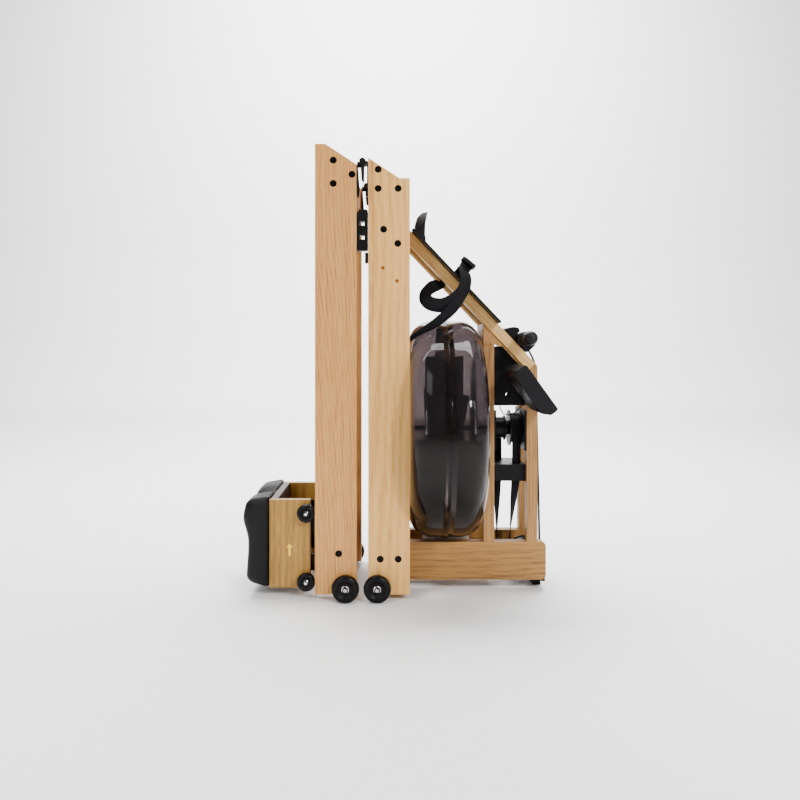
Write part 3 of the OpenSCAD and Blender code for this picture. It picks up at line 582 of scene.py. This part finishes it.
shape.to_mesh(pad_mesh)
shape.free()
pad_mesh.materials.append(pad_skin)
pad = bpy.data.objects.new("seat_pad", pad_mesh)
bpy.context.scene.collection.objects.link(pad)
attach(pad, "seat")
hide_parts("seat_cushion")

# --- Travel arrow on the seat side ----------------------------------------
# Small yellow vinyl arrow on the right-hand side board, pointing up.
vinyl = finish("yellow_cut_vinyl", "#f5c400", 0.6)
arrow_outline = [(-0.0028, -0.0150), (0.0028, -0.0150), (0.0028, 0.0055), (0.0078, 0.0055), (0.0, 0.0150),
                 (-0.0078, 0.0055), (-0.0028, 0.0055)]
side_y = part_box("seat_side_plates")[0].y
arrow_mesh = bpy.data.meshes.new("seat_arrow")
arrow_verts = [(-0.2594 + x, side_y - d, 0.1155 + z) for d in (0.0003, -0.0002) for x, z in arrow_outline]
count = len(arrow_outline)
arrow_mesh.from_pydata(arrow_verts, [], [tuple(range(count)), tuple(range(2 * count - 1, count - 1, -1))]
                       + [(k, count + k, count + (k + 1) % count, (k + 1) % count) for k in range(count)])
arrow_mesh.materials.append(vinyl)
arrow = bpy.data.objects.new("seat_arrow", arrow_mesh)
bpy.context.scene.collection.objects.link(arrow)
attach(arrow, "seat")

# --- Webbing --------------------------------------------------------------
# Flat woven polyester webbing, 2 mm thick: the drive and return straps, which
# turn a quarter between the drum and the pulleys, and the handle's run.
webbing = bpy.data.materials.new("black_woven_polyester_webbing")
webbing.use_nodes = True
tree = webbing.node_tree
tree.nodes.clear()
# Weave drawn at 3 mm, coarser than the real 1 mm, so that it shows.
weave_uv = put(tree, "ShaderNodeUVMap", uv_map="weave").outputs["UV"]
weft = put(tree, "ShaderNodeTexWave", {"Vector": weave_uv, "Scale": 314 / 3 / 1.0, "Distortion": 0.3},
           bands_direction="Y")
warp = put(tree, "ShaderNodeTexWave", {"Vector": weave_uv, "Scale": 314 / 4 / 1.0, "Distortion": 0.3},
           bands_direction="X")
weave = put(tree, "ShaderNodeMath", {0: weft.outputs["Fac"], 1: warp.outputs["Fac"]}, operation="MULTIPLY")
weave_tone = put(tree, "ShaderNodeValToRGB", {"Fac": weave.outputs[0]})
weave_tone.color_ramp.elements[0].color = linear("#060508")
weave_tone.color_ramp.elements[1].color = linear("#131217")
weave_bump = put(tree, "ShaderNodeBump", {"Strength": 0.6, "Distance": 0.0004, "Height": weave.outputs[0]})
weave_shader = put(tree, "ShaderNodeBsdfPrincipled", {"Base Color": weave_tone.outputs["Color"], "Roughness": 0.72,
                   "Specular IOR Level": 0.15, "Normal": weave_bump.outputs["Normal"]})
put(tree, "ShaderNodeOutputMaterial", {"Surface": weave_shader.outputs["BSDF"]})


def strap(name, stations, steps, thick=0.002):
    """Webbing through stations of (point, direction of its width, width), smoothed between them."""
    points = smooth_path([s[0] for s in stations], steps)
    across = [v.normalized() for v in smooth_path([s[1] for s in stations], steps)]
    wide = [v.x for v in smooth_path([(s[2], 0, 0) for s in stations], steps)]
    shape = bmesh.new()
    uv = shape.loops.layers.uv.new("weave")
    rows, run, runs = [], 0.0, []
    for i, p in enumerate(points):
        ahead = (points[min(i + 1, len(points) - 1)] - points[max(i - 1, 0)]).normalized()
        side = (across[i] - ahead * across[i].dot(ahead)).normalized()
        up = side.cross(ahead)
        w, t = wide[i] / 2, thick / 2
        rows.append([shape.verts.new(p + side * a + up * b) for a, b in
                     ((-w, -t * 0.4), (-w + t, -t), (0, -t), (w - t, -t), (w, -t * 0.4), (w, t * 0.4), (w - t, t),
                      (0, t), (-w + t, t), (-w, t * 0.4))])
        run += (p - points[i - 1]).length if i else 0
        runs.append(run)
    n = len(rows[0])
    for i in range(len(rows) - 1):
        for k in range(n):
            m = (k + 1) % n
            face = shape.faces.new((rows[i][k], rows[i][m], rows[i + 1][m], rows[i + 1][k]))
            face.smooth = True
            us = (k if k < 5 else 9 - k, m if m < 5 else 9 - m)
            for loop, u, v in zip(face.loops, (us[0], us[1], us[1], us[0]), (runs[i], runs[i], runs[i + 1], runs[i + 1])):
                loop[uv].uv = (u / 4 * wide[i], v)
    shape.faces.new(list(reversed(rows[0])))
    shape.faces.new(rows[-1])
    bmesh.ops.recalc_face_normals(shape, faces=shape.faces)
    data = bpy.data.meshes.new(name)
    shape.to_mesh(data)
    shape.free()
    data.materials.append(webbing)
    made = bpy.data.objects.new(name, data)
    bpy.context.scene.collection.objects.link(made)
    return made


X, Y = Vector((1, 0, 0)), Vector((0, 1, 0))


def round_roller(cx, cz, r, start, end, steps):
    """Stations round a roller, angles in degrees from +X towards +Z."""
    return [(Vector((cx + r * math.cos(math.radians(a)), 0, cz + r * math.sin(math.radians(a)))), Y, 0.022)
            for a in (start + (end - start) * k / steps for k in range(steps + 1))]


drive = strap("drive_strap_webbing", [(Vector((0.307, -0.030, 0.4265)), X, 0.022), (Vector((0.307, -0.0375, 0.412)), X, 0.022),
              (Vector((0.307, -0.0395, 0.398)), X, 0.022), (Vector((0.307, -0.0390, 0.34)), X, 0.022),
              (Vector((0.3065, -0.0385, 0.292)), X, 0.022), (Vector((0.304, -0.034, 0.25)), X * 0.95 + Y * 0.3, 0.022),
              (Vector((0.300, -0.020, 0.19)), X * 0.6 + Y * 0.8, 0.022), (Vector((0.296, -0.006, 0.13)), X * 0.12 + Y, 0.022),
              (Vector((0.2948, 0, 0.10)), Y, 0.022)] + round_roller(0.334, 0.075, 0.0394, 180, 360, 10)
              + [(Vector((0.3715, 0, 0.2)), Y, 0.022), (Vector((0.3665, 0, 0.42)), Y, 0.022),
                 (Vector((0.3643, 0, 0.5475)), Y, 0.022)], 3)
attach(drive, "front_frame")
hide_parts("drive_strap")
takeup = strap("return_strap_webbing", [(Vector((0.268, 0.0135, 0.4255)), X, 0.022), (Vector((0.268, 0.0235, 0.4165)), X, 0.022),
               (Vector((0.268, 0.0284, 0.40)), X, 0.022), (Vector((0.268, 0.0284, 0.34)), X, 0.022),
               (Vector((0.268, 0.0280, 0.292)), X, 0.022), (Vector((0.2665, 0.024, 0.24)), X * 0.9 + Y * 0.35, 0.022),
               (Vector((0.2645, 0.014, 0.18)), X * 0.55 + Y * 0.8, 0.022), (Vector((0.2634, 0.004, 0.12)), X * 0.1 + Y, 0.022)]
               + round_roller(0.244, 0.075, 0.0194, 0, -90, 6) + [(Vector((0.12, 0, 0.0556)), Y, 0.022)]
               + round_roller(-0.014, 0.075, 0.0194, 270, 180, 6) + [(Vector((-0.0334, 0, 0.12)), Y, 0.022),
                                                                     (Vector((-0.0334, 0, 0.1598)), Y, 0.016)], 3)
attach(takeup, "front_frame")
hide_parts("recoil_strap")
handle_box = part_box("handle_bar")
grip_x, grip_z = (handle_box[0].x + handle_box[1].x) / 2, (handle_box[0].z + handle_box[1].z) / 2
run_up = strap("handle_strap_webbing", [(Vector((0.3643, 0, 0.5485)), Y, 0.022), (Vector((0.359, 0, 0.572)), Y, 0.022),
               (Vector((0.347, 0, 0.598)), Y, 0.022), (Vector((grip_x + 0.0155, 0, grip_z - 0.006)), Y, 0.022),
               (Vector((grip_x + 0.0155, 0, grip_z + 0.004)), Y, 0.022)], 12)
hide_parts("handle_strap")
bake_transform(run_up)


# --- Pull handle ----------------------------------------------------------
# Steel core moulded over in soft black rubber: a centre block that the strap
# is sewn to, two swelling grips, and rounded ends.
grip_rubber = finish("black_soft_grip_rubber", "#040406", 0.45, level=0.2, grain=0.5, grain_mm=2.0, mottle=0.4)
grip_profile = [(0.0, 0.192), (0.008, 0.1917), (0.0125, 0.1895), (0.0158, 0.185), (0.017, 0.178), (0.0166, 0.16),
                (0.0155, 0.14), (0.0158, 0.115), (0.0168, 0.09), (0.0165, 0.065), (0.0150, 0.048), (0.0140, 0.040),
                (0.0118, 0.036), (0.0112, 0.030), (0.0112, 0.0255), (0.0138, 0.0245), (0.0148, 0.022), (0.015, 0.0)]
grip_profile = grip_profile + [(r, -d) for r, d in reversed(grip_profile[:-1])]
handle = turned("pull_handle", grip_profile, 40, ("Y", grip_x, 0, grip_z), False, [grip_rubber])
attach(handle, "handle")
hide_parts("handle_bar")
groove_tree = new_tree("grip_rings", [("Count", "NodeSocketInt"), ("Spacing", "NodeSocketFloat"), ("Ring radius", "NodeSocketFloat"),
                                      ("Cord radius", "NodeSocketFloat"), ("Start", "NodeSocketVector"),
                                      ("Finish", "NodeSocketMaterial")])
given = put(groove_tree, "NodeGroupInput")
step = put(groove_tree, "ShaderNodeCombineXYZ", {"Y": given.outputs["Spacing"]})
row = put(groove_tree, "GeometryNodeMeshLine", {"Count": given.outputs["Count"], "Start Location": given.outputs["Start"],
                                                "Offset": step.outputs[0]}, mode="OFFSET")
loop = put(groove_tree, "GeometryNodeCurvePrimitiveCircle", {"Resolution": 40, "Radius": given.outputs["Ring radius"]})
bead = put(groove_tree, "GeometryNodeCurvePrimitiveCircle", {"Resolution": 8, "Radius": given.outputs["Cord radius"]})
hoop = put(groove_tree, "GeometryNodeCurveToMesh", {"Curve": loop.outputs["Curve"], "Profile Curve": bead.outputs["Curve"]})
upright = put(groove_tree, "GeometryNodeTransform", {"Geometry": hoop.outputs[0], "Rotation": (math.pi / 2, 0, 0)})
hoops = put(groove_tree, "GeometryNodeInstanceOnPoints", {"Points": row.outputs["Mesh"], "Instance": upright.outputs[0]})
solid = put(groove_tree, "GeometryNodeRealizeInstances", {"Geometry": hoops.outputs[0]})
dressed = put(groove_tree, "GeometryNodeSetMaterial", {"Geometry": solid.outputs[0], "Material": given.outputs["Finish"]})
put(groove_tree, "NodeGroupOutput", {"Geometry": dressed.outputs[0]})
for side_name, start in (("right", -0.172), ("left", 0.068)):
    rings = grown(f"grip_rings_{side_name}", groove_tree, {"Count": 14, "Spacing": 0.008, "Ring radius": 0.0160,
                  "Cord radius": 0.0011, "Start": (grip_x, start, grip_z), "Finish": grip_rubber})
    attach(rings, "handle")


# --- Handle cradles -------------------------------------------------------
# Moulded nylon hooks screwed to the spars, open upwards, which hold the
# handle's grips at rest.
slope = Matrix.Translation((0.0388, 0, 0.8967)) @ Matrix.Rotation(math.radians(46.64), 4, "Y")


def slab(name, outline, y0, y1, place, mat, ease, body, nodes=()):
    """A flat part cut to an outline in its own X and Z, from y0 to y1, with eased edges, then put in place."""
    shape = bmesh.new()
    front = [shape.verts.new((x, y0, z)) for x, z in outline]
    rear = [shape.verts.new((x, y1, z)) for x, z in outline]
    shape.faces.new(front)
    shape.faces.new(list(reversed(rear)))
    for k in range(len(outline)):
        m = (k + 1) % len(outline)
        shape.faces.new((front[k], rear[k], rear[m], front[m]))
    bmesh.ops.recalc_face_normals(shape, faces=shape.faces)
    sharp = [e for e in shape.edges if e.calc_face_angle(0) > math.radians(28)]
    bmesh.ops.bevel(shape, geom=sharp, offset=ease, segments=3, profile=0.5, affect="EDGES", clamp_overlap=True)
    shape.transform(place)
    data = bpy.data.meshes.new(name)
    shape.to_mesh(data)
    shape.free()
    data.materials.append(mat)
    made = bpy.data.objects.new(name, data)
    bpy.context.scene.collection.objects.link(made)
    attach(made, body)
    if nodes:
        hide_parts(*nodes)
    return made


hook = [(0.336, 0.0003), (0.413, 0.0003), (0.4185, 0.006), (0.4185, 0.030), (0.413, 0.037), (0.4045, 0.036)]
hook += [(0.386 + 0.0185 * math.cos(math.radians(a)), 0.0206 + 0.0185 * math.sin(math.radians(a)))
         for a in range(10, -176, -15)]
hook += [(0.3665, 0.027), (0.358, 0.031), (0.348, 0.024), (0.339, 0.010)]
slab("handle_cradle_right", hook, -0.076, -0.049, slope, nylon, 0.0008, "front_frame", ("handle_cradles",))
slab("handle_cradle_left", hook, 0.049, 0.076, slope, nylon, 0.0008, "front_frame")

# --- Monitor --------------------------------------------------------------
# Flat case in black textured ABS on a tilting arm, with a tinted acrylic
# window over a liquid crystal display, and one push button.
case_abs = finish("black_textured_abs_case", "#070609", 0.5, level=0.14, grain=0.9, grain_mm=2.0, mottle=0.3)
eased("monitor_case", "console_housing", "console", case_abs, 0.0028, 3)
tilted = Matrix.Translation((0.2975, 0, 0.5699)) @ Matrix.Rotation(math.radians(54.2), 4, "Y")
acrylic = finish("tinted_acrylic_window", "#0c0d10", 0.06)
crystal = finish("grey_liquid_crystal", "#7d8676", 0.3)
slab("monitor_window", [(0.016, 0.0), (0.088, 0.0), (0.088, 0.0009), (0.016, 0.0009)], -0.222, -0.095, tilted, acrylic,
     0.0004, "console")
slab("monitor_display", [(0.026, 0.0009), (0.078, 0.0009), (0.078, 0.0012), (0.026, 0.0012)], -0.208, -0.109, tilted,
     crystal, 0.0001, "console")
button_grey = finish("grey_silicone_button", "#77787c", 0.6)
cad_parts["console_button"].data.materials.clear()
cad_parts["console_button"].data.materials.append(button_grey)

# --- Foot plates ----------------------------------------------------------
# Moulded polypropylene plates with a curved heel cup, ribbed across for grip.
# They slide on the spars to suit the shoe.
plate_plastic = finish("black_moulded_polypropylene", "#050406", 0.45, level=0.14, grain=0.5, grain_mm=2.0, mottle=0.4)
for side_name in ("right", "left"):
    eased(f"foot_plate_{side_name}_moulding", f"foot_plate_{side_name}", f"foot_plate_{side_name}",
          plate_plastic, 0.0012, 2)
rib_tree = new_tree("plate_ribs", [("Count", "NodeSocketInt"), ("Spacing", "NodeSocketFloat"), ("Rib", "NodeSocketVector"),
                                   ("Start", "NodeSocketVector"), ("Place", "NodeSocketVector"), ("Slope", "NodeSocketFloat"),
                                   ("Finish", "NodeSocketMaterial")])
given = put(rib_tree, "NodeGroupInput")
step = put(rib_tree, "ShaderNodeCombineXYZ", {"X": given.outputs["Spacing"]})
row = put(rib_tree, "GeometryNodeMeshLine", {"Count": given.outputs["Count"], "Start Location": given.outputs["Start"],
                                             "Offset": step.outputs[0]}, mode="OFFSET")
bar = put(rib_tree, "GeometryNodeMeshCube", {"Size": given.outputs["Rib"]})
bars = put(rib_tree, "GeometryNodeInstanceOnPoints", {"Points": row.outputs["Mesh"], "Instance": bar.outputs["Mesh"]})
lean = put(rib_tree, "ShaderNodeCombineXYZ", {"Y": given.outputs["Slope"]})
laid = put(rib_tree, "GeometryNodeTransform", {"Geometry": bars.outputs[0], "Rotation": lean.outputs[0],
                                               "Translation": given.outputs["Place"]})
solid = put(rib_tree, "GeometryNodeRealizeInstances", {"Geometry": laid.outputs[0]})
dressed = put(rib_tree, "GeometryNodeSetMaterial", {"Geometry": solid.outputs[0], "Material": given.outputs["Finish"]})
put(rib_tree, "NodeGroupOutput", {"Geometry": dressed.outputs[0]})
for side_name, y in (("right", -0.065), ("left", 0.065)):
    ribs = grown(f"foot_plate_{side_name}_ribs", rib_tree, {"Count": 24, "Spacing": 0.010, "Rib": (0.003, 0.090, 0.0014),
                 "Start": (0.068, y, 0.0053), "Place": (0.0388, 0, 0.8967), "Slope": math.radians(46.64),
                 "Finish": plate_plastic})
    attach(ribs, f"foot_plate_{side_name}")


# --- Foot straps ----------------------------------------------------------
# Polyester webbing through the plate's slots with a moulded cam buckle. The
# right-hand one hangs slack round the spar, with its tail behind the rail.
def on_slope(u, y, n):
    return slope @ Vector((u, y, n))


U = (slope.to_3x3() @ Vector((1, 0, 0)))
N = (slope.to_3x3() @ Vector((0, 0, 1)))
mid_u = 0.160
left_stations = [(on_slope(mid_u, 0.0105, 0.003), U, 0.034), (on_slope(mid_u, 0.0095, 0.020), U, 0.034),
                 (on_slope(mid_u, 0.017, 0.036), U, 0.034), (on_slope(mid_u, 0.040, 0.047), U, 0.034),
                 (on_slope(mid_u, 0.066, 0.050), U, 0.034), (on_slope(mid_u, 0.092, 0.046), U, 0.034),
                 (on_slope(mid_u, 0.113, 0.035), U, 0.034), (on_slope(mid_u, 0.121, 0.019), U, 0.034),
                 (on_slope(mid_u, 0.1195, 0.003), U, 0.034)]
left_strap = strap("foot_strap_left_webbing", left_stations, 5)
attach(left_strap, "foot_plate_left")
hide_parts("foot_strap_left")
tip = Vector((0.55, -0.25, -0.25))
right_stations = [(on_slope(mid_u, -0.0105, 0.003), U, 0.030), (on_slope(mid_u, -0.010, 0.022), U, 0.030),
                  (on_slope(mid_u - 0.002, -0.020, 0.038), U, 0.030), (on_slope(mid_u - 0.004, -0.050, 0.050), U, 0.030),
                  (on_slope(mid_u - 0.006, -0.085, 0.048), U, 0.030), (Vector((0.167, -0.112, 0.800)), U, 0.030),
                  (Vector((0.170, -0.124, 0.775)), X + Y * 0.3 - N * 0.2, 0.031),
                  (Vector((0.163, -0.127, 0.747)), X + Y * 0.4, 0.034),
                  (Vector((0.142, -0.128, 0.724)), X * 0.7 + Y * 0.4 - Vector((0, 0, 0.8)), 0.037),
                  (Vector((0.112, -0.127, 0.711)), X * 0.2 + Y * 0.4 - Vector((0, 0, 1)), 0.037),
                  (Vector((0.084, -0.125, 0.715)), Y * 0.4 - X * 0.3 - Vector((0, 0, 1)), 0.036),
                  (Vector((0.072, -0.118, 0.728)), -X * 0.8 + Y * 0.5 - Vector((0, 0, 0.4)), 0.036),
                  (Vector((0.076, -0.106, 0.744)), -X * 0.9 + Y * 0.6 + Vector((0, 0, 0.3)), 0.036),
                  (Vector((0.092, -0.088, 0.759)), -X * 0.5 + Y * 0.6 + Vector((0, 0, 0.8)), 0.034),
                  (Vector((0.110, -0.0455, 0.770)), -X * 0.5 + Y * 0.3 + Vector((0, 0, 0.7)), 0.030),
                  (on_slope(mid_u - 0.02, -0.030, -0.020), U, 0.030), (on_slope(mid_u - 0.004, -0.0105, -0.002), U, 0.030)]
right_strap = strap("foot_strap_right_webbing", right_stations, 6)
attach(right_strap, "foot_plate_right")
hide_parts("foot_strap_right")
tail = strap("foot_strap_right_tail", [(Vector((0.161, -0.1300, 0.748)), X + Y * 0.3, 0.028), (Vector((0.150, -0.1310, 0.722)), X * 0.9 - Vector((0, 0, 0.4)), 0.028),
             (Vector((0.132, -0.131, 0.698)), X * 0.7 + Y * 0.2 - Vector((0, 0, 0.7)), 0.027),
             (Vector((0.105, -0.126, 0.674)), X * 0.6 + Y * 0.3 - Vector((0, 0, 0.8)), 0.024),
             (Vector((0.075, -0.119, 0.654)), X * 0.5 + Y * 0.4 - Vector((0, 0, 0.8)), 0.020),
             (Vector((0.045, -0.1165, 0.636)), X * 0.4 + Y * 0.6 - Vector((0, 0, 0.8)), 0.015),
             (Vector((0.018, -0.1165, 0.617)), X * 0.4 + Y * 0.7 - Vector((0, 0, 0.7)), 0.012)], 6)
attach(tail, "foot_plate_right")
buckle_frame = [(-0.018, -0.023), (0.018, -0.023), (0.020, -0.016), (0.020, 0.016), (0.015, 0.023), (-0.015, 0.023),
                (-0.020, 0.016), (-0.020, -0.016)]
buckle_place = slope @ Matrix.Translation((mid_u - 0.006, -0.086, 0.050)) @ Matrix.Rotation(math.pi / 2, 4, "X") \
    @ Matrix.Rotation(0.15, 4, "Z")
slab("foot_strap_right_buckle", buckle_frame, -0.0065, 0.0035, buckle_place, nylon, 0.0018, "foot_plate_right")
slab("foot_strap_right_cam", [(-0.011, -0.026), (0.011, -0.026), (0.013, 0.004), (-0.013, 0.004)], -0.0105, -0.0062, buckle_place,
     nylon, 0.0014, "foot_plate_right")
buckle_left = slope @ Matrix.Translation((mid_u, 0.090, 0.0475)) @ Matrix.Rotation(math.pi / 2, 4, "X")
slab("foot_strap_left_buckle", buckle_frame, -0.0065, 0.0035, buckle_left, nylon, 0.0018, "foot_plate_left")
